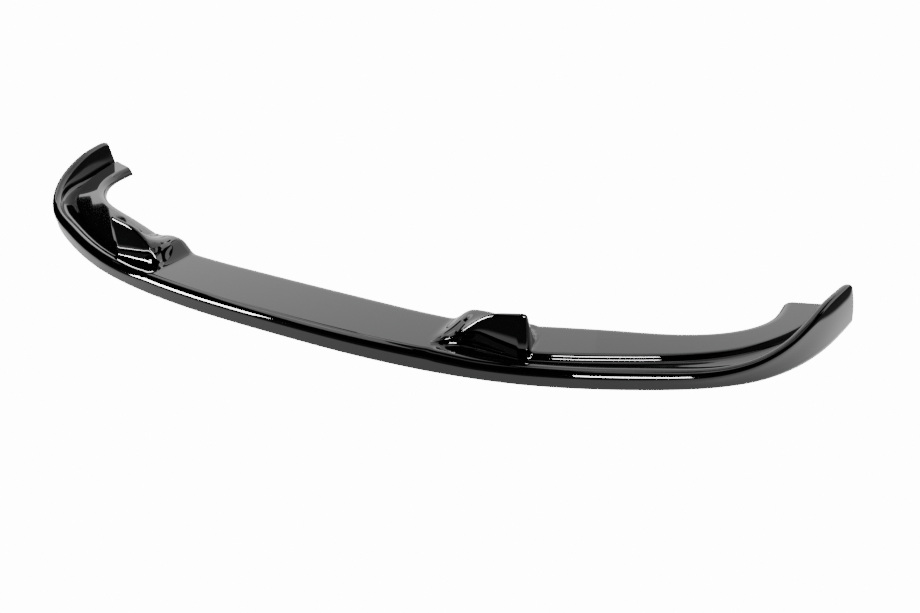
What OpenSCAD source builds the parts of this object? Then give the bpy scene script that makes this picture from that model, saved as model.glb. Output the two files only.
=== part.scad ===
// Front splitter lip: one thermoformed shell, open underneath.
// Frame: X across the car, Y from the front edge back to the car, Z up. The origin is the
// bottom centre of the part's box. One half is drawn and mirrored to make the other.

/* [Plan] */
// Half of the width across the car, at the tips
half_span = 890; // [760:5:1000]
// How far the tips lie behind the middle of the front edge
sweep = 494; // [420:2:600]
// Depth of the lip in the middle, front edge to back edge
middle_depth = 137; // [110:1:160]
// Depth of the shelf where the outer corners turn back
corner_depth = 106; // [90:1:130]
// How far the inner corner of each end is set forward of the tip
end_setback = 39; // [20:1:70]
// How far the inner corner of each end is set in from the tip
end_depth = 115; // [95:1:140]
// Lean of the end cut, as forward travel at the top of the winglet
end_lean = 16; // [0:1:30]

/* [Skirt and rim] */
// Height of the shelf above the bottom edge, in the middle
shelf_height = 35; // [28:0.5:50]
// How much the shelf rises towards the ends
shelf_rise = -2; // [-5:0.5:10]
// Height of the rim in front of the channel
rim_height = 30; // [24:0.5:40]
// Height of the winglets at the ends
winglet_height = 85; // [60:1:120]
// How far the winglets lean in at the top
winglet_lean = 9; // [0:1:15]
// Radius of the front nose and of the rim
nose_radius = 14; // [8:0.5:18]
// Radius of the top of the winglets
winglet_radius = 8; // [6:0.5:9]
// How far the top of each winglet rounds down at its tip
tip_round = 7; // [2:0.5:12]
// How far the rim stands out past the bottom edge at the corners
corner_flare = 5; // [0:0.5:6]
// Inward slope of the skirt over its height
skirt_draft = 1; // [0:0.1:3]

/* [Channel] */
// Height of the floor of the channel
channel_height = 24; // [18:0.5:32]
// Distance of the foot of the rim from the front edge
rim_foot = 28; // [24:0.5:34]
// Distance of the shelf step from the front edge, behind the channel
step_setback = 45; // [38:0.5:54]
// Distance of the shelf step from the front edge, at the ends
step_setback_end = 39; // [36:0.5:50]
// How far the step leans back over its height
step_run = 2; // [1:0.5:4]

/* [Pods] */
// Where the tip of each pod starts, from the middle of the lip
pod_tip = 286; // [275:1:300]
// Distance of the tip from the front edge
pod_tip_setback = 23; // [19:0.5:26]
// Length over which the front wall curves back from the tip
pod_turn = 65; // [50:1:80]
// How far the front walls stand behind the middle of the front edge
pod_wall_line = 79; // [72:0.5:84]
// How much further back each front wall stands at its outer end
pod_wall_slant = 2; // [0:0.5:6]
// Where the top of each pod starts to round into its outer side wall
pod_end = 428; // [415:1:460]
// Height of the pods at their outer end
pod_height = 102; // [80:1:125]
// How far the crest falls from the outer end towards the tip
pod_crest_fall = 30; // [15:1:40]
// Where the hump starts, from the middle of the lip
hump_start = 281; // [240:1:300]
// Height of the hump at the back edge
hump_height = 58; // [45:1:75]
// Where the hump is highest, from the middle of the lip
hump_peak = 326; // [312:1:350]
// Height of the back edge at the outer end of each pod
hump_end_height = 38; // [36:1:55]
// Radius of the pod's edges
pod_edge = 5; // [4:0.5:8]
// Radius of the pod's outer top corner
pod_corner = 12; // [8:0.5:16]
// How far the side wall stands further out at the back edge than at the front wall
pod_side_slant = -9; // [-20:1:5]

/* [Sheet] */
// Thickness of the sheet
wall = 3; // [2:0.1:4]
// Height of the flange that turns down along the back edge
flange_drop = 18; // [15:0.5:24]
// Radius of the bend into the flange
flange_radius = 15; // [8:0.5:15]

/* [Hidden] */

// Plan of the front edge and the back edge: one control point for each span of the curve.
// Points near the middle are set from the middle, points near the tips from the tips.
FRONT_EDGE = [
    [0, 0], [161, 0], [321, 15], [479, 50], [half_span - 265, sweep - 378],
    [half_span - 120, sweep - 299], [half_span - 36, sweep - 158], [half_span, sweep]
];
BACK_EDGE = [
    [0, middle_depth], [161, middle_depth + 2], [321, middle_depth + 1], [479, middle_depth + 73],
    [half_span - 300, sweep - 253], [half_span - 96 - corner_depth, sweep - 214],
    [half_span - end_depth - 7, sweep - end_setback - 88], [half_span - end_depth, sweep - end_setback]
];
SPANS = len(FRONT_EDGE) - 1;
MIDDLE = 3.1;       // up to here the stations run straight back
RISE_START = 4.4;   // where the rim starts to rise into the winglet
RISE_END = 6.65;    // where the winglet has its full height
TIP_START = 6.86;   // where the top of the winglet turns down
WALL_ANGLE = 86;    // slope of the pod's side wall
POD_FALL = 2.4;     // how quickly the pod's top falls behind its crest
CREST_RUN = 107;    // how long the crest takes to rise from the tip
WALL_CURVE = 2.2;   // how quickly the front wall turns away at the tip
MOUTH = [6, 34];    // start and end of the channel's closed end, from the tip of the pod
RIM_EASE = 110;     // length from the tip in which the rim drops to its height
STEP_EASE = 130;    // length beside the pod in which the step moves to its own distance

function smooth(t) = let(c = max(0, min(1, t))) c * c * c * (c * (6 * c - 15) + 10);
function ramp(x, x0, x1) = smooth((x - x0) / (x1 - x0));
function mix(a, b, t) = a + (b - a) * t;
function unit(v) = v / norm(v);

// Uniform cubic B-spline on control points p, mirrored at the start and straight at the end.
function knot(p, i) =
    i < 0 ? [-p[-i][0], p[-i][1]] :
    i >= len(p) ? 2 * p[len(p) - 1] - p[2 * len(p) - 2 - i] : p[i];
function spline(p, u) =
    let(i = min(floor(u), len(p) - 2), t = u - i, s = 1 - t)
    (knot(p, i - 1) * s * s * s + knot(p, i) * (3 * t * t * t - 6 * t * t + 4)
        + knot(p, i + 1) * (3 * s * s * s - 6 * s * s + 4) + knot(p, i + 2) * t * t * t) / 6;
// Parameter of the front edge at a distance x from the middle.
function u_at(x, lo = 0, hi = 7, n = 24) =
    n == 0 ? (lo + hi) / 2 :
    let(m = (lo + hi) / 2) spline(FRONT_EDGE, m)[0] < x ? u_at(x, m, hi, n - 1) : u_at(x, lo, m, n - 1);

// Drop of a rounded edge of radius r at a distance t past its start, then of the wall below it.
function rounded_drop(t, r) =
    t <= 0 ? 0 :
    t < r * sin(WALL_ANGLE) ? r - sqrt(r * r - t * t) :
    r * (1 - cos(WALL_ANGLE)) + (t - r * sin(WALL_ANGLE)) * tan(WALL_ANGLE);
// Height of a wall that falls from top to base with rounded edges, at a distance t past its start.
function fall(t, top, base) =
    let(h = max(top - base, 0.01),
        high = min(pod_corner, h / 2),
        low = min(pod_edge, h / 2),
        straight = (h - (high + low) * (1 - cos(WALL_ANGLE))) / tan(WALL_ANGLE),
        w = (high + low) * sin(WALL_ANGLE) + straight)
    t < high * sin(WALL_ANGLE) + straight / 2 ? top - rounded_drop(t, high) : base + rounded_drop(w - t, low);

// Share of the way along the pod, from its tip to its outer end.
function along_pod(x) = (x - pod_tip) / (pod_end - pod_tip);
// Heights of the pod's crest along its front wall, and of the hump at the back edge.
function crest_z(x, base) =
    let(full = pod_height - pod_crest_fall * (1 - along_pod(x)))
    mix(base, full, ramp(x, pod_tip, pod_tip + CREST_RUN));
function hump_z(x, base) =
    x < hump_peak ? mix(base, hump_height, ramp(x, hump_start, hump_peak))
        : mix(hump_height, hump_end_height, ramp(x, hump_peak, pod_end));
// Height of the upper face at a share v of the way from the front wall to the back edge.
function pod_z(x, v, base) =
    let(side = pod_end + pod_side_slant * v,
        b = hump_z(x, base),
        top = b + (crest_z(x, base) - b) * pow(1 - v, POD_FALL))
    x < side ? top : fall(x - side, top, base);

// Distance of a pod's front wall behind the middle of the front edge: it curves back from the
// tip, then runs straight across.
function wall_y(x) =
    let(straight = pod_wall_line + pod_wall_slant * along_pod(x), left = max(0, 1 - (x - pod_tip) / pod_turn))
    mix(straight, TIP_Y, pow(left, WALL_CURVE));
function front_y(x) = spline(FRONT_EDGE, u_at(x))[1];
TIP_Y = front_y(pod_tip) + pod_tip_setback;
BESIDE_POD = wall_y(pod_end) - front_y(pod_end);

// One section: [distance behind the front edge, height] for each rail, from the
// bottom of the skirt over the rim, the channel and the shelf to the back flange.
function section(u) =
    let(x = spline(FRONT_EDGE, u)[0],
        depth = norm(back_point(u) - spline(FRONT_EDGE, u)),
        open = ramp(x - pod_tip, MOUTH[0], MOUTH[1]),
        wing = ramp(u, RISE_START, RISE_END),
        flare = corner_flare * ramp(u, RISE_START - 0.5, RISE_START + 0.5) * (1 - ramp(u, 5.2, 6.2)),
        tip = tip_round * pow(max(0, (u - TIP_START) / (SPANS - TIP_START)), 2),
        base = shelf_height + shelf_rise * ramp(u, RISE_START, SPANS),
        low_rim = mix(shelf_height, rim_height, ramp(x - pod_tip, 0, RIM_EASE)),
        rim = mix(low_rim, winglet_height, wing) - tip,
        r = mix(nose_radius, winglet_radius, ramp(u, RISE_START - 0.6, RISE_START + 1.2)),
        face = skirt_draft - flare + winglet_lean * ramp(u, 5.2, RISE_END),
        top = pod_z(x, 0, base),
        beside = mix(BESIDE_POD, step_setback, ramp(x, pod_end, pod_end + STEP_EASE)),
        step_d =
            x < pod_tip ? pod_tip_setback :
            x < pod_end ? wall_y(x) - spline(FRONT_EDGE, u)[1] :
            mix(beside, step_setback_end, ramp(u, 5, 6.4)),
        toe = step_d - step_run,
        center = [face + r, rim - r],
        gap = min(rim_foot - skirt_draft - nose_radius, (toe - center[0]) * 0.6),
        lowest = gap < r ? center[1] + sqrt(r * r - gap * gap) : 0,
        floor_z = max(mix(shelf_height, channel_height, open), lowest),
        h = max(0, top - floor_z),
        edge_z = min(pod_edge, h * 0.45),
        foot = [center[0] + gap, floor_z],
        turn = 90 + atan2(foot[0] - center[0], foot[1] - center[1]) - acos(min(1, r / norm(foot - center))),
        slope = atan((top - pod_z(x, 0.05, base)) / (0.05 * (depth - flange_radius - step_d - pod_edge))),
        back = step_d + pod_edge * (1 + sin(slope)),
        sink = edge_z * (1 - cos(slope)),
        shelf_d = depth - flange_radius - back,
        edge = pod_z(x, 1, base),
        skirt = [for (q = [[0, 0], [0.3, 0.34], [0.65, 0.7], [0.9, 1]])
            [mix(skirt_draft * q[0], face, q[1] * q[1]), (rim - r) * q[1]]],
        nose = [for (q = [0.2, 0.44, 0.72, 1]) center + r * [-cos(q * turn), sin(q * turn)]],
        channel = [for (q = [0.5, 0.85]) [mix(foot[0], toe, q), floor_z]],
        step = [
            [toe + step_run * 0.08, floor_z + min(3, h * 0.2)],
            [toe + step_run * 0.5, mix(floor_z, top - edge_z, 0.5)],
            [step_d - step_run * 0.08, top - edge_z * 1.1]
        ],
        brow = [for (q = [0.33, 0.67, 1]) let(a = q * (90 + slope))
            [step_d + pod_edge * (1 - cos(a)), top - edge_z * (1 - sin(a))]],
        shelf = [for (v = [0.08, 0.17, 0.29, 0.43, 0.59, 0.77, 0.93])
            [back + shelf_d * v, pod_z(x, v, base) - sink * pow(1 - v, 4)]],
        bend = [for (a = [0, 30, 60])
            [depth - flange_radius * (1 - sin(a)), edge - flange_radius * (1 - cos(a))]],
        flange = [[depth, edge - flange_radius], [depth, edge - flange_drop]])
    concat(skirt, nose, [mix(nose[3], foot, 0.5), foot], channel, step, brow, shelf, bend, flange);

// The back edge lies straight behind the front edge in the middle, and the two
// follow their own curves from there to the end.
function back_point(u) =
    let(f = spline(FRONT_EDGE, u), b = spline(BACK_EDGE, u))
    [mix(f[0], b[0], ramp(u, MIDDLE - 0.6, MIDDLE + 0.6)), b[1]];

function station(u) =
    let(f = spline(FRONT_EDGE, u), w = unit(back_point(u) - f),
        along = unit(spline(FRONT_EDGE, min(u + 0.01, SPANS)) - spline(FRONT_EDGE, u - 0.01)),
        lean = end_lean * ramp(u, 5.8, 7) / winglet_height)
    [for (q = section(u)) let(p = f + w * q[0] - along * lean * q[1]) [p[0], p[1], q[1]]];

// Stations along one half, closer together where the pods and the tips are.
function run(a, b, n) = [for (i = [0:n - 1]) mix(a, b, i / n)];
HALF = concat(
    run(0, u_at(pod_tip - 16), 5),
    run(u_at(pod_tip - 16), u_at(pod_tip + 44), 11),
    run(u_at(pod_tip + 44), u_at(pod_end - 18), 5),
    [for (t = [-18, -11, -4, 0, 2.5, 5, 7.5, 10, 12.5, 15, 18, 23]) u_at(pod_end + t)],
    run(u_at(pod_end + 30), 5, 7),
    run(5, 6.8, 9),
    [6.8, 6.9, 6.97, 7]
);
HALF_NET = [for (u = HALF) station(u)];

function flip(row) = [for (p = row) [-p[0], p[1], p[2]]];
NET = concat([for (i = [len(HALF_NET) - 1:-1:1]) flip(HALF_NET[i])], HALF_NET);
ROWS = len(NET);
COLS = len(NET[0]);

// The surface is the cubic B-spline of the net, taken at the net's own points.
function eased(list, i) =
    i == 0 || i == len(list) - 1 ? list[i] : (list[i - 1] + 4 * list[i] + list[i + 1]) / 6;
function eased_row(row) = [for (j = [0:len(row) - 1]) eased(row, j)];
EASED = [for (row = NET) eased_row(row)];
OUTER = [for (i = [0:ROWS - 1]) [for (j = [0:COLS - 1])
    i == 0 || i == ROWS - 1 ? EASED[i][j] : (EASED[i - 1][j] + 4 * EASED[i][j] + EASED[i + 1][j]) / 6]];

// Inner face: the outer face moved in by the wall. The direction at each point halves the
// turn between its neighbours, is eased along the rails, and stays level at the free edges.
function heading(before, here, after) =
    before == undef ? unit(after - here) :
    after == undef ? unit(here - before) :
    unit(after - here) + unit(here - before);
NORMALS = [for (i = [0:ROWS - 1]) [for (j = [0:COLS - 1]) unit(cross(
    heading(OUTER[i][j - 1], OUTER[i][j], OUTER[i][j + 1]),
    heading(i == 0 ? undef : OUTER[i - 1][j], OUTER[i][j], i == ROWS - 1 ? undef : OUTER[i + 1][j])))]];
function inward(i, j) =
    let(free = j == 0 || j == COLS - 1,
        n = free ? NORMALS[i][j] : NORMALS[i][j - 1] + 2 * NORMALS[i][j] + NORMALS[i][j + 1],
        e = unit(cross(OUTER[i][COLS - 8] - OUTER[i][0], OUTER[i][6] - OUTER[i][0])),
        kept = i == 0 || i == ROWS - 1 ? n - e * (n * e) : n)
    unit(free ? [kept[0], kept[1], 0] : kept) * wall;
INNER = [for (i = [0:ROWS - 1]) [for (j = [0:COLS - 1]) OUTER[i][j] + inward(i, j)]];

module splitter_lip() {
    outer_points = [for (row = OUTER) each row];
    inner_points = [for (row = INNER) each row];
    first_inner = ROWS * COLS;
    function at(i, j) = i * COLS + j;
    skins = [for (i = [0:ROWS - 2]) for (j = [0:COLS - 2]) each [
        [at(i, j), at(i, j + 1), at(i + 1, j + 1)], [at(i, j), at(i + 1, j + 1), at(i + 1, j)],
        [first_inner + at(i, j), first_inner + at(i + 1, j + 1), first_inner + at(i, j + 1)],
        [first_inner + at(i, j), first_inner + at(i + 1, j), first_inner + at(i + 1, j + 1)]]];
    long_edges = [for (i = [0:ROWS - 2]) for (j = [0, COLS - 1])
        let(a = at(i, j), b = at(i + 1, j), c = first_inner + b, d = first_inner + a)
        each (j == 0 ? [[a, b, c], [a, c, d]] : [[a, c, b], [a, d, c]])];
    ends = [for (j = [0:COLS - 2]) for (i = [0, ROWS - 1])
        let(a = at(i, j), b = at(i, j + 1), c = first_inner + b, d = first_inner + a)
        each (i == 0 ? [[a, c, b], [a, d, c]] : [[a, b, c], [a, c, d]])];
    color([0.03, 0.03, 0.035])
    translate([0, -sweep / 2, 0])
    polyhedron(
        points = concat(outer_points, inner_points),
        faces = concat(skins, long_edges, ends),
        convexity = 10
    );
}

splitter_lip();
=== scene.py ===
"""Looks of a front splitter lip: one thermoformed gloss-black sheet on a pale studio floor.

The sheet's outer face is drawn as a net of control points, with the sizes and the rule of the
CAD part, and a Geometry Nodes tree smooths the net and gives it its wall. Sizes of the lip are
in millimetres, as on its drawing; everything in Blender is in metres, in the CAD frame.
"""

import math

import bpy
from mathutils import Matrix, Vector


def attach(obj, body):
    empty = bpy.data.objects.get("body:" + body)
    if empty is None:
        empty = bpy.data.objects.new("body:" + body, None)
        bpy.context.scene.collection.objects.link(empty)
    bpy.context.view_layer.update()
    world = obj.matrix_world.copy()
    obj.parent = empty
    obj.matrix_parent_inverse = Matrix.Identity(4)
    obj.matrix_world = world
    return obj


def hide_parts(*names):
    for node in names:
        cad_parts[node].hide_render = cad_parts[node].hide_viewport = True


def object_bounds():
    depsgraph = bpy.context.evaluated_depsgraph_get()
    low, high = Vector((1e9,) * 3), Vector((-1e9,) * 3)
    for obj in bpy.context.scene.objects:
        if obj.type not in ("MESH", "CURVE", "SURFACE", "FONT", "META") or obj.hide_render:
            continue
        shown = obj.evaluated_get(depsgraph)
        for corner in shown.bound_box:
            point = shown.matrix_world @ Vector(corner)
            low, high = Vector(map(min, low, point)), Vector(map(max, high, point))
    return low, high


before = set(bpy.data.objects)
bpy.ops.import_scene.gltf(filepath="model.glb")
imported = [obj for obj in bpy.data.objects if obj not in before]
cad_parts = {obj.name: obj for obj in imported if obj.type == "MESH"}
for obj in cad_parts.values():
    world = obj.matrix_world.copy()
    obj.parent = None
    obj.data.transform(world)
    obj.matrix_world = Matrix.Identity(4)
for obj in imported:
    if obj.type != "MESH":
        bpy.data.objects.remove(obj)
CAD_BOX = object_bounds()
MM = 0.001

# ---- sizes of the lip
# Plan
HALF_SPAN = (CAD_BOX[1][0] - CAD_BOX[0][0]) / 2 / MM
SWEEP = (CAD_BOX[1][1] - CAD_BOX[0][1]) / MM
MIDDLE_DEPTH = 137
CORNER_DEPTH = 106
END_SETBACK = 39
END_DEPTH = 115
END_LEAN = 16
# Skirt and rim
SHELF_HEIGHT = 35
SHELF_RISE = -2
RIM_HEIGHT = 30
RIM_EASE = 110  # length from the pod's tip in which the rim drops to its height
WINGLET_HEIGHT = 85
WINGLET_LEAN = 9
NOSE_RADIUS = 14
WINGLET_RADIUS = 8
TIP_ROUND = 7
CORNER_FLARE = 5
SKIRT_DRAFT = 1
# Channel, and the step behind it
CHANNEL_HEIGHT = 24
MOUTH = (6, 34)  # start and end of the channel's closed end, from the pod's tip
RIM_FOOT = 28
FOOT_SHARE = 0.6  # the rim's foot lies at most this share of the way to the step
STEP_SETBACK = 45
STEP_SETBACK_END = 39
STEP_RUN = 2
STEP_EASE = 130  # length beside the pod in which the step moves to its own distance
# Pods
POD_TIP = 286
POD_TIP_SETBACK = 23
POD_TURN = 65
POD_WALL_LINE = 79
POD_WALL_SLANT = 2
WALL_CURVE = 2.2  # how quickly the front wall turns away at the tip
POD_END = 428
POD_HEIGHT = 102
POD_FALL = 2.4  # how quickly the pod's top falls behind its crest
POD_CREST_FALL = 30
CREST_RUN = 107  # how long the crest takes to rise from the tip
HUMP_START = 281
HUMP_HEIGHT = 58
HUMP_PEAK = 326
HUMP_END_HEIGHT = 38
POD_EDGE = 5
POD_CORNER = 12
POD_SIDE_SLANT = -9
SIDE_ANGLE = math.radians(86)
LEAST_FALL = 0.01  # a side wall has at least this height, so that its rule holds
# Sheet
WALL = 3
FLANGE_DROP = 18
FLANGE_RADIUS = 15

# Control points of the front edge and the back edge in plan, one for each span of the curve.
# Points near the middle are set from the middle, points near the tips from the tips.
FRONT_EDGE = [
    Vector(p)
    for p in (
        (0, 0),
        (161, 0),
        (321, 15),
        (479, 50),
        (HALF_SPAN - 265, SWEEP - 378),
        (HALF_SPAN - 120, SWEEP - 299),
        (HALF_SPAN - 36, SWEEP - 158),
        (HALF_SPAN, SWEEP),
    )
]
BACK_EDGE = [
    Vector(p)
    for p in (
        (0, MIDDLE_DEPTH),
        (161, MIDDLE_DEPTH + 2),
        (321, MIDDLE_DEPTH + 1),
        (479, MIDDLE_DEPTH + 73),
        (HALF_SPAN - 300, SWEEP - 253),
        (HALF_SPAN - 96 - CORNER_DEPTH, SWEEP - 214),
        (HALF_SPAN - END_DEPTH - 7, SWEEP - END_SETBACK - 88),
        (HALF_SPAN - END_DEPTH, SWEEP - END_SETBACK),
    )
]

# Places along the front edge, as the parameter of its curve: 0 in the middle, SPANS at the tip.
SPANS = len(FRONT_EDGE) - 1
MIDDLE = 3.1  # up to here the sections run straight back
SWING = (MIDDLE - 0.6, MIDDLE + 0.6)  # here they start to follow the back edge's own curve
RISE_START = 4.4  # where the rim starts to rise into the winglet
RISE_END = 6.65  # where the winglet has its full height
SLIMMING = (RISE_START - 0.6, RISE_START + 1.2)  # from the nose's radius to the winglet's
FLARE_IN = (RISE_START - 0.5, RISE_START + 0.5)  # here the rim comes out past the skirt's foot
FLARE_OUT = (5.2, 6.2)  # and here it goes back in
LEANING = (5.2, RISE_END)  # here the winglet starts to lean in
CORNER = 5  # where the outer corner starts to turn back
STEP_CLOSING = (CORNER, 6.4)  # here the step moves to its distance at the end
END_CUT = (5.8, SPANS)  # here the sections start to lean as the end is cut
TIP_START = 6.86  # where the top of the winglet turns down
NUDGE = 0.01  # how far to each side the points lie that give the edge's direction
HALVINGS = 24  # steps in which the parameter at a distance is searched

# Rows of the net along one half, each row one section.
MIDDLE_ROWS = 5  # from the middle of the lip to the pod's tip
TIP_REACH = (-16, 44)  # the stretch round the tip where rows lie closer, from the tip
TIP_ROWS = 11  # in that stretch
POD_ROWS = 5  # from there to the pod's side wall
SIDE_WALL = (-18, -11, -4, 0, 2.5, 5, 7.5, 10, 12.5, 15, 18, 23)  # rows round the side wall
PAST_SIDE_WALL = 30  # where the rows of the arm start, from the side wall
ARM_ROWS = 7  # from there to the corner
CORNER_ROWS = 9  # from the corner to the winglet's tip
LAST_ROWS = (6.8, 6.9, 6.97, SPANS)  # rows at the winglet's tip, as parameters

# Rails of the net across one section, each as a share of the stretch that it lies on.
SKIRT_RAILS = ((0, 0), (0.3, 0.34), (0.65, 0.7), (0.9, 1))  # shares of the draft and the height
RIM_RAILS = (0.2, 0.44, 0.72, 1)
CHANNEL_RAILS = (0.5, 0.85)
BROW_RAILS = (0.33, 0.67, 1)
SHELF_RAILS = (0.08, 0.17, 0.29, 0.43, 0.59, 0.77, 0.93)
BEND_RAILS = (0, math.pi / 6, math.pi / 3)  # angles of the bend into the flange
STEP_INSET = 0.08  # the step's first and last rails stand in from its ends, as a share of its run
STEP_FOOT = 3  # height of the first of them above the channel's floor
STEP_FOOT_SHARE = 0.2  # and the most of the step's height that this may be
STEP_HEAD = 1.1  # how far the last of them lies below the top, in heights of the top's edge
EDGE_SHARE = 0.45  # the most of a low wall's height that its rounded edge takes
SLOPE_SHARE = 0.05  # the share of the upper face that gives its slope at the step
SINK_FADE = 4  # how quickly the upper face comes back up from the rounded edge


# ---- the net
def smooth(t):
    """Rises from 0 to 1 with no kink at either end."""
    c = max(0.0, min(1.0, t))
    return c * c * c * (c * (6 * c - 15) + 10)


def ramp(x, x0, x1):
    return smooth((x - x0) / (x1 - x0))


def mix(a, b, t):
    return a + (b - a) * t


def knot(points, i):
    """Control point i, mirrored before the middle and straight past the tip."""
    if i < 0:
        return Vector((-points[-i].x, points[-i].y))
    if i >= len(points):
        return 2 * points[-1] - points[2 * len(points) - 2 - i]
    return points[i]


def spline(points, u):
    """Point of the uniform cubic B-spline at parameter u."""
    i = min(math.floor(u), len(points) - 2)
    t = u - i
    s = 1 - t
    return (
        knot(points, i - 1) * s**3
        + knot(points, i) * (3 * t**3 - 6 * t**2 + 4)
        + knot(points, i + 1) * (3 * s**3 - 6 * s**2 + 4)
        + knot(points, i + 2) * t**3
    ) / 6


def u_at(x):
    """Parameter of the front edge at a distance x from the middle."""
    low, high = 0.0, float(SPANS)
    for _ in range(HALVINGS):
        half = (low + high) / 2
        if spline(FRONT_EDGE, half).x < x:
            low = half
        else:
            high = half
    return (low + high) / 2


def front_y(x):
    return spline(FRONT_EDGE, u_at(x)).y


def back_point(u):
    """Point of the back edge: straight behind the front edge in the middle, then on its own."""
    b = spline(BACK_EDGE, u)
    return Vector((mix(spline(FRONT_EDGE, u).x, b.x, ramp(u, *SWING)), b.y))


def rounded_drop(t, r):
    """Drop of a rounded edge of radius r at a distance t past its start, then of its wall."""
    if t <= 0:
        return 0.0
    if t < r * math.sin(SIDE_ANGLE):
        return r - math.sqrt(r * r - t * t)
    return r * (1 - math.cos(SIDE_ANGLE)) + (t - r * math.sin(SIDE_ANGLE)) * math.tan(SIDE_ANGLE)


def fall(t, top, base):
    """Height of a wall with rounded edges that falls from top to base."""
    h = max(top - base, LEAST_FALL)
    high = min(POD_CORNER, h / 2)
    low = min(POD_EDGE, h / 2)
    straight = (h - (high + low) * (1 - math.cos(SIDE_ANGLE))) / math.tan(SIDE_ANGLE)
    width = (high + low) * math.sin(SIDE_ANGLE) + straight
    if t < high * math.sin(SIDE_ANGLE) + straight / 2:
        return top - rounded_drop(t, high)
    return base + rounded_drop(width - t, low)


def along_pod(x):
    """Share of the way along the pod, from its tip to its outer end."""
    return (x - POD_TIP) / (POD_END - POD_TIP)


def crest_z(x, base):
    """Height of the pod's crest, along its front wall."""
    full = POD_HEIGHT - POD_CREST_FALL * (1 - along_pod(x))
    return mix(base, full, ramp(x, POD_TIP, POD_TIP + CREST_RUN))


def hump_z(x, base):
    """Height of the hump at the back edge."""
    if x < HUMP_PEAK:
        return mix(base, HUMP_HEIGHT, ramp(x, HUMP_START, HUMP_PEAK))
    return mix(HUMP_HEIGHT, HUMP_END_HEIGHT, ramp(x, HUMP_PEAK, POD_END))


def pod_z(x, v, base):
    """Height of the upper face at a share v of the way from the front wall to the back edge."""
    side = POD_END + POD_SIDE_SLANT * v
    back = hump_z(x, base)
    top = back + (crest_z(x, base) - back) * (1 - v) ** POD_FALL
    return top if x < side else fall(x - side, top, base)


TIP_Y = front_y(POD_TIP) + POD_TIP_SETBACK


def wall_y(x):
    """Distance of a pod's front wall behind the middle of the front edge."""
    straight = POD_WALL_LINE + POD_WALL_SLANT * along_pod(x)
    left = max(0.0, 1 - (x - POD_TIP) / POD_TURN)
    return mix(straight, TIP_Y, left**WALL_CURVE)


BESIDE_POD = wall_y(POD_END) - front_y(POD_END)


def step_distance(u, x):
    """Distance behind the front edge of the step up to the shelf, or of the pod's front wall."""
    if x < POD_TIP:
        return POD_TIP_SETBACK
    if x < POD_END:
        return wall_y(x) - spline(FRONT_EDGE, u).y
    beside = mix(BESIDE_POD, STEP_SETBACK, ramp(x, POD_END, POD_END + STEP_EASE))
    return mix(beside, STEP_SETBACK_END, ramp(u, *STEP_CLOSING))


def rim_shape(u, x):
    """Inward offset of the skirt's top, height of the rim, and its radius."""
    flare = CORNER_FLARE * ramp(u, *FLARE_IN) * (1 - ramp(u, *FLARE_OUT))
    face = SKIRT_DRAFT - flare + WINGLET_LEAN * ramp(u, *LEANING)
    low_rim = mix(SHELF_HEIGHT, RIM_HEIGHT, ramp(x - POD_TIP, 0, RIM_EASE))
    tip = TIP_ROUND * max(0.0, (u - TIP_START) / (SPANS - TIP_START)) ** 2
    rim = mix(low_rim, WINGLET_HEIGHT, ramp(u, RISE_START, RISE_END)) - tip
    return face, rim, mix(NOSE_RADIUS, WINGLET_RADIUS, ramp(u, *SLIMMING))


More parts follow.
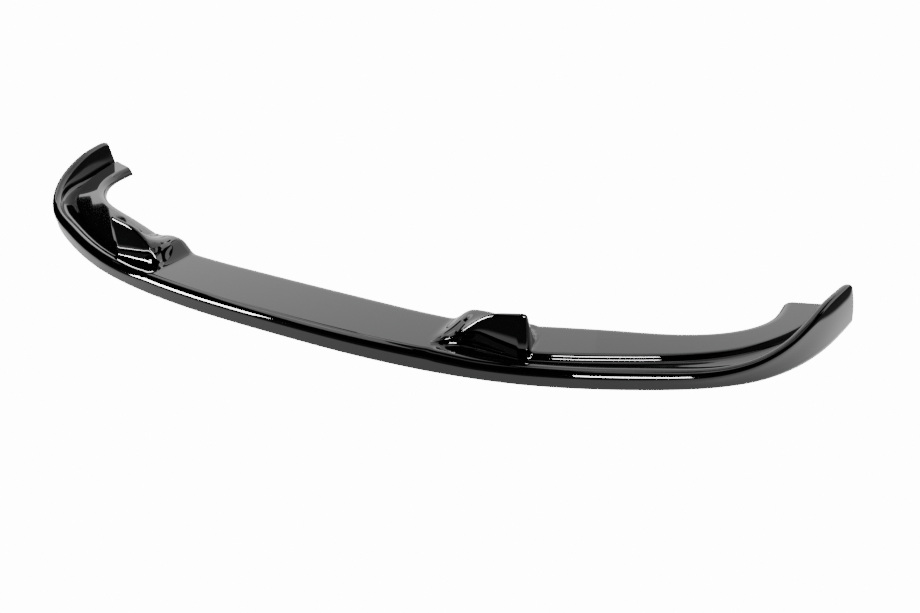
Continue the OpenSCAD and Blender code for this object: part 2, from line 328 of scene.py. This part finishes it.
def section(u):
    """Rails of one section, as (distance behind the front edge, height).

    They run from the bottom of the skirt over the nose, the channel and the shelf or pod to
    the bottom of the flange along the back edge.
    """
    x = spline(FRONT_EDGE, u).x
    depth = (back_point(u) - spline(FRONT_EDGE, u)).length
    base = SHELF_HEIGHT + SHELF_RISE * ramp(u, RISE_START, SPANS)
    top = pod_z(x, 0, base)
    face, rim, r = rim_shape(u, x)
    step_d = step_distance(u, x)
    toe = step_d - STEP_RUN

    # The rim is an arc that runs on until it meets the floor of the channel.
    center = Vector((face + r, rim - r))
    gap = min(RIM_FOOT - SKIRT_DRAFT - NOSE_RADIUS, (toe - center.x) * FOOT_SHARE)
    floor_z = mix(SHELF_HEIGHT, CHANNEL_HEIGHT, ramp(x - POD_TIP, *MOUTH))
    if gap < r:
        floor_z = max(floor_z, center.y + math.sqrt(r * r - gap * gap))
    foot = Vector((center.x + gap, floor_z))
    to_foot = foot - center
    turn = math.pi / 2 + math.atan2(to_foot.x, to_foot.y) - math.acos(min(1.0, r / to_foot.length))

    def rim_arc(share):
        return center + r * Vector((-math.cos(share * turn), math.sin(share * turn)))

    # The front wall of the shelf or pod, its rounded top edge and the face behind it.
    h = max(0.0, top - floor_z)
    edge_z = min(POD_EDGE, h * EDGE_SHARE)
    plain_d = depth - FLANGE_RADIUS - step_d - POD_EDGE
    slope = math.atan((top - pod_z(x, SLOPE_SHARE, base)) / (SLOPE_SHARE * plain_d))
    back = step_d + POD_EDGE * (1 + math.sin(slope))
    sink = edge_z * (1 - math.cos(slope))
    shelf_d = depth - FLANGE_RADIUS - back
    edge = pod_z(x, 1, base)

    rails = [(mix(SKIRT_DRAFT * q, face, z * z), (rim - r) * z) for q, z in SKIRT_RAILS]
    rails += [rim_arc(q) for q in RIM_RAILS]
    rails += [mix(rim_arc(1), foot, 0.5), foot]
    rails += [(mix(foot.x, toe, q), floor_z) for q in CHANNEL_RAILS]
    rails += [
        (toe + STEP_RUN * STEP_INSET, floor_z + min(STEP_FOOT, h * STEP_FOOT_SHARE)),
        (toe + STEP_RUN * 0.5, mix(floor_z, top - edge_z, 0.5)),
        (step_d - STEP_RUN * STEP_INSET, top - edge_z * STEP_HEAD),
    ]
    for share in BROW_RAILS:
        a = share * (math.pi / 2 + slope)
        rails.append((step_d + POD_EDGE * (1 - math.cos(a)), top - edge_z * (1 - math.sin(a))))
    for v in SHELF_RAILS:
        rails.append((back + shelf_d * v, pod_z(x, v, base) - sink * (1 - v) ** SINK_FADE))
    for a in BEND_RAILS:
        inset, drop = (FLANGE_RADIUS * (1 - part) for part in (math.sin(a), math.cos(a)))
        rails.append((depth - inset, edge - drop))
    rails += [(depth, edge - FLANGE_RADIUS), (depth, edge - FLANGE_DROP)]
    return rails


def station(u):
    """One row of the net: the section at u, leaned forward near the end as the end is cut."""
    front = spline(FRONT_EDGE, u)
    across = (back_point(u) - front).normalized()
    ahead = spline(FRONT_EDGE, min(u + NUDGE, SPANS))
    along = (ahead - spline(FRONT_EDGE, u - NUDGE)).normalized()
    lean = END_LEAN * ramp(u, *END_CUT) / WINGLET_HEIGHT
    row = []
    for d, z in section(u):
        p = front + across * d - along * lean * z
        row.append(Vector((p.x, p.y - SWEEP / 2, z)) * MM)
    return row


def run(a, b, count):
    return [mix(a, b, i / count) for i in range(count)]


def half_stations():
    """Stations along one half, closer together where the pods and the tips are."""
    tip_start, tip_end = (u_at(POD_TIP + reach) for reach in TIP_REACH)
    return (
        run(0, tip_start, MIDDLE_ROWS)
        + run(tip_start, tip_end, TIP_ROWS)
        + run(tip_end, u_at(POD_END + SIDE_WALL[0]), POD_ROWS)
        + [u_at(POD_END + t) for t in SIDE_WALL]
        + run(u_at(POD_END + PAST_SIDE_WALL), CORNER, ARM_ROWS)
        + run(CORNER, LAST_ROWS[0], CORNER_ROWS)
        + list(LAST_ROWS)
    )


def control_net():
    half = [station(u) for u in half_stations()]
    mirrored = [[Vector((-p.x, p.y, p.z)) for p in row] for row in half[:0:-1]]
    return mirrored + half


def net_mesh(name, net):
    """A mesh of the net's quads, with faces pointing out."""
    columns = len(net[0])
    points = [p for row in net for p in row]
    faces = []
    for i in range(len(net) - 1):
        for j in range(columns - 1):
            k = i * columns + j
            faces.append((k, k + columns, k + columns + 1, k + 1))
    mesh = bpy.data.meshes.new(name)
    mesh.from_pydata(points, [], faces)
    mesh.update()
    return mesh


# ---- node helpers
def place(tree, kind, x, y, **settings):
    """A new node at a place in the tree's window."""
    node = tree.nodes.new(kind)
    node.location = (x, y)
    for key, value in settings.items():
        setattr(node, key, value)
    return node


def math_node(tree, operation, x, y, first, second=None):
    """Result of one operation on two sockets or numbers."""
    node = place(tree, "ShaderNodeMath", x, y, operation=operation)
    for socket, value in zip(node.inputs, (first, second)):
        if isinstance(value, (int, float)):
            socket.default_value = value
        elif value is not None:
            tree.links.new(value, socket)
    return node.outputs[0]


def remap(tree, x, y, value, span, ends, course="LINEAR"):
    """A value taken from the span to the ends, and held there outside the span."""
    node = place(tree, "ShaderNodeMapRange", x, y, interpolation_type=course)
    for name, number in zip(("From Min", "From Max", "To Min", "To Max"), (*span, *ends)):
        node.inputs[name].default_value = number
    tree.links.new(value, node.inputs["Value"])
    return node.outputs["Result"]


# ---- the sheet
SMOOTHING = 2  # times that the net is divided
MERGE_GAP = 1e-6  # points of the outer face and the wall this close become one


def sheet_tree():
    """Smooths a control net and gives it a wall on its inner side."""
    tree = bpy.data.node_groups.new("thermoformed_sheet", "GeometryNodeTree")
    face = tree.interface
    sockets = {
        name: face.new_socket(name, in_out="INPUT", socket_type="NodeSocket" + kind)
        for name, kind in (
            ("Net", "Geometry"),
            ("Smoothing", "Int"),
            ("Wall", "Float"),
            ("Outer finish", "Material"),
            ("Inner finish", "Material"),
        )
    }
    face.new_socket("Sheet", in_out="OUTPUT", socket_type="NodeSocketGeometry")
    start = place(tree, "NodeGroupInput", -900, 0)
    smoothed = place(tree, "GeometryNodeSubdivisionSurface", -700, 0)
    smoothed.boundary_smooth = "PRESERVE_CORNERS"
    gloss = place(tree, "GeometryNodeSetMaterial", -450, 150)
    turned = place(tree, "GeometryNodeFlipFaces", -450, -150)
    walled = place(tree, "GeometryNodeExtrudeMesh", -250, -150, mode="FACES")
    walled.inputs["Individual"].default_value = False
    normal = place(tree, "GeometryNodeInputNormal", -450, -300)
    matt = place(tree, "GeometryNodeSetMaterial", 0, -150)
    joined = place(tree, "GeometryNodeJoinGeometry", 200, 0)
    merged = place(tree, "GeometryNodeMergeByDistance", 380, 0)
    merged.inputs["Distance"].default_value = MERGE_GAP
    shaded = place(tree, "GeometryNodeSetShadeSmooth", 560, 0)
    real = place(tree, "GeometryNodeRealizeInstances", 740, 0)
    end = place(tree, "NodeGroupOutput", 920, 0)
    link = tree.links.new
    link(start.outputs["Net"], smoothed.inputs["Mesh"])
    link(start.outputs["Smoothing"], smoothed.inputs["Level"])
    link(smoothed.outputs["Mesh"], gloss.inputs["Geometry"])
    link(start.outputs["Outer finish"], gloss.inputs["Material"])
    link(smoothed.outputs["Mesh"], turned.inputs["Mesh"])
    link(turned.outputs["Mesh"], walled.inputs["Mesh"])
    link(normal.outputs["Normal"], walled.inputs["Offset"])
    link(start.outputs["Wall"], walled.inputs["Offset Scale"])
    link(walled.outputs["Mesh"], matt.inputs["Geometry"])
    link(start.outputs["Inner finish"], matt.inputs["Material"])
    link(gloss.outputs["Geometry"], joined.inputs["Geometry"])
    link(matt.outputs["Geometry"], joined.inputs["Geometry"])
    link(joined.outputs["Geometry"], merged.inputs["Geometry"])
    link(merged.outputs["Geometry"], shaded.inputs["Geometry"])
    link(shaded.outputs["Geometry"], real.inputs["Geometry"])
    link(real.outputs["Geometry"], end.inputs["Sheet"])
    return tree, sockets


def baked(obj):
    """The evaluated object as a plain mesh object of the same name."""
    graph = bpy.context.evaluated_depsgraph_get()
    mesh = bpy.data.meshes.new_from_object(obj.evaluated_get(graph))
    name = obj.name
    bpy.data.objects.remove(obj)
    piece = bpy.data.objects.new(name, mesh)
    bpy.context.scene.collection.objects.link(piece)
    return piece


# ---- finishes
FILM_VALUES = {"Peel scale": 260.0, "Peel": 0.5, "Wave scale": 9.0, "Wave": 1.0}
PEEL_DETAIL = 1.5
WAVE_DETAIL = 1.0
DUST_SCALE = 900.0
DUST_DETAIL = 2.0
DUST_FROM = (0.62, 0.75)  # how high the dust's noise has to be for a first and a full speck
DUST_DULLS = 0.05  # roughness that a full speck adds
PLASTIC_IOR = 1.5


def film_group():
    """Surface of moulded plastic: a fine peel and faint long waves, as one height, and a mask."""
    group = bpy.data.node_groups.new("moulded_film", "ShaderNodeTree")
    face = group.interface
    for name, value in FILM_VALUES.items():
        socket = face.new_socket(name, in_out="INPUT", socket_type="NodeSocketFloat")
        socket.default_value = value
    for name in ("Height", "Dust"):
        face.new_socket(name, in_out="OUTPUT", socket_type="NodeSocketFloat")
    start = place(group, "NodeGroupInput", -900, 0)
    spot = place(group, "ShaderNodeTexCoord", -900, -250)
    link = group.links.new

    def noise(y, detail):
        node = place(group, "ShaderNodeTexNoise", -650, y)
        node.inputs["Detail"].default_value = detail
        link(spot.outputs["Object"], node.inputs["Vector"])
        return node

    peel = noise(150, PEEL_DETAIL)
    wave = noise(-150, WAVE_DETAIL)
    dust = noise(-420, DUST_DETAIL)
    dust.inputs["Scale"].default_value = DUST_SCALE
    link(start.outputs["Peel scale"], peel.inputs["Scale"])
    link(start.outputs["Wave scale"], wave.inputs["Scale"])
    fine = math_node(group, "MULTIPLY", -400, 150, peel.outputs["Fac"], start.outputs["Peel"])
    long = math_node(group, "MULTIPLY", -400, -150, wave.outputs["Fac"], start.outputs["Wave"])
    specks = remap(group, -400, -420, dust.outputs["Fac"], DUST_FROM, (0, 1))
    end = place(group, "NodeGroupOutput", 50, 0)
    link(math_node(group, "ADD", -200, 0, fine, long), end.inputs["Height"])
    link(specks, end.inputs["Dust"])
    return group


def plastic(name, film, color, roughness, relief_height, film_values):
    """Black plastic with the film's relief, and dust that dulls it a little where it lies."""
    material = bpy.data.materials.new(name)
    material.use_nodes = True
    tree = material.node_tree
    shader = tree.nodes["Principled BSDF"]
    shader.inputs["Base Color"].default_value = (*color, 1)
    shader.inputs["IOR"].default_value = PLASTIC_IOR
    relief = place(tree, "ShaderNodeGroup", -700, -100, node_tree=film)
    for key, value in film_values.items():
        relief.inputs[key].default_value = value
    bumped = place(tree, "ShaderNodeBump", -300, -200)
    bumped.inputs["Strength"].default_value = 1.0
    bumped.inputs["Distance"].default_value = relief_height
    dulled = remap(
        tree, -300, 100, relief.outputs["Dust"], (0, 1), (roughness, roughness + DUST_DULLS)
    )
    link = tree.links.new
    link(relief.outputs["Height"], bumped.inputs["Height"])
    link(bumped.outputs["Normal"], shader.inputs["Normal"])
    link(dulled, shader.inputs["Roughness"])
    return material


# ---- the lip
film = film_group()
gloss_black = plastic(
    "gloss_black",
    film,
    color=(0.004, 0.004, 0.0045),
    roughness=0.03,
    relief_height=0.00002,
    film_values={"Peel scale": 240.0, "Peel": 0.05},
)
matt_back = plastic(
    "matt_back",
    film,
    color=(0.012, 0.012, 0.013),
    roughness=0.45,
    relief_height=0.0002,
    film_values={"Peel scale": 900.0, "Peel": 1.0},
)

net_object = bpy.data.objects.new("lip_sheet", net_mesh("lip_net", control_net()))
bpy.context.scene.collection.objects.link(net_object)
forming = net_object.modifiers.new("forming", "NODES")
forming.node_group, sockets = sheet_tree()
for socket_name, setting in (
    ("Smoothing", SMOOTHING),
    ("Wall", WALL * MM),
    ("Outer finish", gloss_black),
    ("Inner finish", matt_back),
):
    forming[sockets[socket_name].identifier] = setting
lip = baked(net_object)
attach(lip, "root")
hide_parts("splitter_lip")

# ---- floor
FLOOR_SIDE = 14.0
FLOOR_ALBEDO = 0.02
FLOOR_ROUGHNESS = 0.9
WHITE = 14.0  # radiance that shows as white paper
# The front edge in plan is close to half of a squared-off oval round the back of the lip.
OVAL_BACK = 0.25
OVAL_HALF_WIDTH = 0.89
OVAL_DEPTH = 0.497
OVAL_POWER = 2.5
# The floor has a painted glow, a pool of light that only the gloss sees: its near glow under the
# lip and close in front of it, and its far glow elsewhere. The glow fades with the size of the
# oval, and behind the lip between its ends.
GLOW_NEAR = 1.35
GLOW_FAR = 0.06
FADE_AHEAD = (1.07, 1.11)
FADE_BEHIND = (0.28, 0.42)
FADE_BETWEEN = (0.76, 0.86)


def floor_finish_and_painted_glow():
    """Pale floor: white to the eye, and in the gloss a painted glow, a pool of light as a pale
    band close in front of the lip.
    """
    material = bpy.data.materials.new("studio_floor")
    material.use_nodes = True
    tree = material.node_tree
    shader = tree.nodes["Principled BSDF"]
    shader.inputs["Base Color"].default_value = (FLOOR_ALBEDO, FLOOR_ALBEDO, FLOOR_ALBEDO, 1)
    shader.inputs["Roughness"].default_value = FLOOR_ROUGHNESS
    shader.inputs["Specular IOR Level"].default_value = 0.0
    shader.inputs["Emission Strength"].default_value = 1.0
    path = place(tree, "ShaderNodeLightPath", -500, 250)
    spot = place(tree, "ShaderNodeTexCoord", -1700, 0)
    parts = place(tree, "ShaderNodeSeparateXYZ", -1500, 0)
    tree.links.new(spot.outputs["Object"], parts.inputs["Vector"])

    def work(operation, x, y, first, second=None):
        return math_node(tree, operation, x, y, first, second)

    def fade(x, y, value, span, ends):
        return remap(tree, x, y, value, span, ends, "SMOOTHSTEP")

    # Size of the oval through each point of the floor: 1 on the front edge.
    sideways = work("ABSOLUTE", -1300, 100, parts.outputs["X"])
    forward = work("SUBTRACT", -1300, -100, OVAL_BACK, parts.outputs["Y"])
    forward = work("MAXIMUM", -1100, -100, forward, 0.0)
    across = work("DIVIDE", -1100, 100, sideways, OVAL_HALF_WIDTH)
    along = work("DIVIDE", -1000, -200, forward, OVAL_DEPTH)
    across = work("POWER", -900, 100, across, OVAL_POWER)
    along = work("POWER", -900, -100, along, OVAL_POWER)
    oval = work("POWER", -700, 0, work("ADD", -800, 0, across, along), 1 / OVAL_POWER)

    ahead = fade(-500, 0, oval, FADE_AHEAD, (1, 0))
    behind = fade(-500, -250, parts.outputs["Y"], FADE_BEHIND, (0, 1))
    between = fade(-500, -500, sideways, FADE_BETWEEN, (1, 0))
    inside = work("MULTIPLY", -300, -350, behind, between)
    lit = work("MULTIPLY", -100, -100, ahead, work("SUBTRACT", -200, -300, 1, inside))
    # Painted light: the floor glows brighter near the lip than far off, and only the gloss shows
    # it.
    glow = fade(50, 0, lit, (0, 1), (GLOW_FAR, GLOW_NEAR))
    eye = work("MULTIPLY", -350, 250, path.outputs["Is Camera Ray"], WHITE)
    tree.links.new(work("MAXIMUM", 250, 100, eye, glow), shader.inputs["Emission Color"])
    return material


floor_mesh = bpy.data.meshes.new("floor")
side = FLOOR_SIDE / 2
floor_mesh.from_pydata(
    [(-side, -side, 0), (side, -side, 0), (side, side, 0), (-side, side, 0)], [], [(0, 1, 2, 3)]
)
floor_mesh.materials.append(floor_finish_and_painted_glow())
floor = bpy.data.objects.new("floor", floor_mesh)
bpy.context.scene.collection.objects.link(floor)

# ---- lights
# They stand far off, so that the gloss shows each in the same direction all along the lip. All
# angles are in degrees. Azimuth 0 is behind the lip, and positive to the right as seen from the
# front. The last number of each soft box is its radiance.
LIGHT_DISTANCE = 16.0
BACK_LOW = -2
BACK_TOP = 36.7
BACK_LEFT = -50.3
# Upright boxes: azimuths of the left and right sides, elevations of the bottom and the top.
BACK_BOXES = (
    ("back_left", BACK_LEFT, -14.5, BACK_LOW, BACK_TOP, 2.0),
    ("back_middle", -14.5, 21.3, BACK_LOW, BACK_TOP, 1.9),
    ("back_right", 21.3, 57.1, BACK_LOW, 32, 1.5),
)
STRIPS = (
    ("left_strip", -143.5, -115, 1, 17, 150.0),
    ("right_strip", 134.5, 153.5, 13, 23, 150.0),
)
# Boxes that face the lip from above: azimuth and elevation of the centre, width and height.
OVERHEAD_BOXES = (
    ("back_high", -6, 50, 50, 26, 1.6),
    ("arch_left", -61, 47, 21, 27, 2.2),
    ("high_left", -102, 59, 36, 18, 2.6),
    ("top_left", -135, 75, 22, 10, 1.0),
    ("over_box", 0, 75, 14, 22, 2.4),
    ("fill_right", 62, 60, 22, 26, 0.9),
    ("high_right", 95, 74, 16, 14, 2.2),
)
# The far left of the back light is cut off along a slant, in steps one degree wide.
SLANT_STEPS = 7
SLANT_LOWEST_TOP = 14.6
SLANT_RISE = 1.15
SLANT_RADIANCE = 1.9


def heading(azimuth, elevation):
    """Unit vector from the lip to a direction."""
    a, e = math.radians(azimuth), math.radians(elevation)
    return Vector((math.sin(a) * math.cos(e), math.cos(a) * math.cos(e), math.sin(e)))


def soft_box(name, way, rise, wide, high, radiance):
    """A soft box at the far end of the direction, lifted by the rise; wide and high in metres."""
    data = bpy.data.lights.new(name, "AREA")
    data.shape = "RECTANGLE"
    data.size = wide
    data.size_y = high
    data.energy = radiance * math.pi * wide * high
    light = bpy.data.objects.new(name, data)
    light.location = way * LIGHT_DISTANCE + Vector((0, 0, rise))
    light.rotation_euler = (-way).to_track_quat("-Z", "Y").to_euler()
    light.visible_camera = False
    bpy.context.scene.collection.objects.link(light)
    return light


def spread(degrees):
    """Length that spans an angle at the distance of the lights."""
    return 2 * LIGHT_DISTANCE * math.tan(math.radians(degrees / 2))


def overhead(name, azimuth, elevation, wide, high, radiance):
    """A soft box that faces the lip from above."""
    return soft_box(name, heading(azimuth, elevation), 0, spread(wide), spread(high), radiance)


def upright(name, left, right, low, top, radiance):
    """A soft box that stands upright between two azimuths and two elevations."""
    bottom = LIGHT_DISTANCE * math.tan(math.radians(low))
    high = LIGHT_DISTANCE * math.tan(math.radians(top)) - bottom
    way = heading((left + right) / 2, 0)
    return soft_box(name, way, bottom + high / 2, spread(right - left), high, radiance)


for box in BACK_BOXES:
    upright(*box)
for box in OVERHEAD_BOXES:
    overhead(*box)
for step in range(SLANT_STEPS):
    left = BACK_LEFT - SLANT_STEPS + step
    top = SLANT_LOWEST_TOP + SLANT_RISE * step
    upright("back_slant_%d" % step, left, left + 1, BACK_LOW, top, SLANT_RADIANCE)
for box in STRIPS:
    upright(*box).visible_diffuse = False

# The backdrop is white to the eye and gives no light.
world = bpy.context.scene.world or bpy.data.worlds.new("studio")
bpy.context.scene.world = world
world.use_nodes = True
backdrop = world.node_tree.nodes["Background"]
backdrop.inputs["Color"].default_value = (1, 1, 1, 1)
sight = place(world.node_tree, "ShaderNodeLightPath", -500, 0)
seen = math_node(world.node_tree, "MULTIPLY", -250, 0, sight.outputs["Is Camera Ray"], WHITE)
world.node_tree.links.new(seen, backdrop.inputs["Strength"])

# ---- camera
CAMERA_AZIMUTH = math.radians(26.8185)  # from straight in front, to the right as seen there
CAMERA_ELEVATION = math.radians(28.5272)
CAMERA_FROM_EDGE = Vector((0.8564, -0.9677, 0.7302))  # from the middle of the front edge
FOCAL_PIXELS = 843.06
PHOTO_WIDTH = 920
SENSOR_WIDTH = 36
backward = Vector(
    (
        math.sin(CAMERA_AZIMUTH) * math.cos(CAMERA_ELEVATION),
        -math.cos(CAMERA_AZIMUTH) * math.cos(CAMERA_ELEVATION),
        math.sin(CAMERA_ELEVATION),
    )
)
rightward = Vector((math.cos(CAMERA_AZIMUTH), math.sin(CAMERA_AZIMUTH), 0))
upward = backward.cross(rightward)
camera_data = bpy.data.cameras.new("camera")
camera_data.sensor_width = SENSOR_WIDTH
camera_data.lens = FOCAL_PIXELS / PHOTO_WIDTH * SENSOR_WIDTH
camera = bpy.data.objects.new("camera", camera_data)
turned = Matrix((rightward, upward, backward)).transposed()
camera_place = CAMERA_FROM_EDGE - Vector((0, SWEEP / 2 * MM, 0))
camera.matrix_world = Matrix.Translation(camera_place) @ turned.to_4x4()
bpy.context.scene.collection.objects.link(camera)
bpy.context.scene.camera = camera
